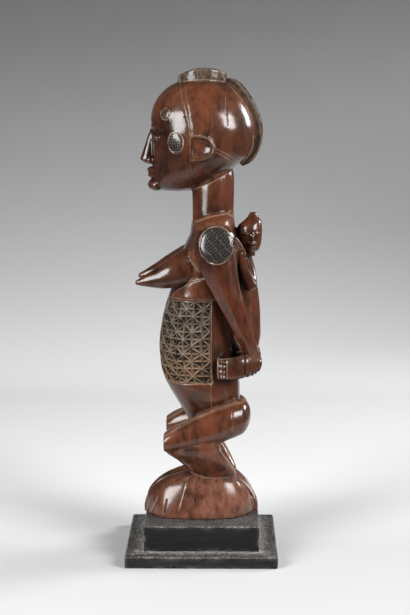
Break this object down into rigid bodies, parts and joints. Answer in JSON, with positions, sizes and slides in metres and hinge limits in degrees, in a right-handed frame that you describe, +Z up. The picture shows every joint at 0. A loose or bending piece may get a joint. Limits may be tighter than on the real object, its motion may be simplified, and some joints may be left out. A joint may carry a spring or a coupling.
{
  "type": "carved mother and child figure on a plinth",
  "caption": "Standing wooden mother with a child on her back, scarified belly panel and discs, on a stepped black plinth.",
  "frame": {"origin": "centre of the plinth's underside", "axes": "+Z up along the figure, -Y the way the figure faces, +X its left side"},
  "size_m": [0.1, 0.1, 0.3227],
  "materials": {
    "carved_wood": "glossy hand-worn red-brown patina over close-grained wood, near black in the cuts",
    "blacked_wood": "dull ebonised boards, greyed and chipped along the edges"
  },
  "bodies": {
    "root": {"figure": "carved_wood", "plinth_block": "blacked_wood", "plinth_slab": "blacked_wood"}
  },
  "joints": []
}
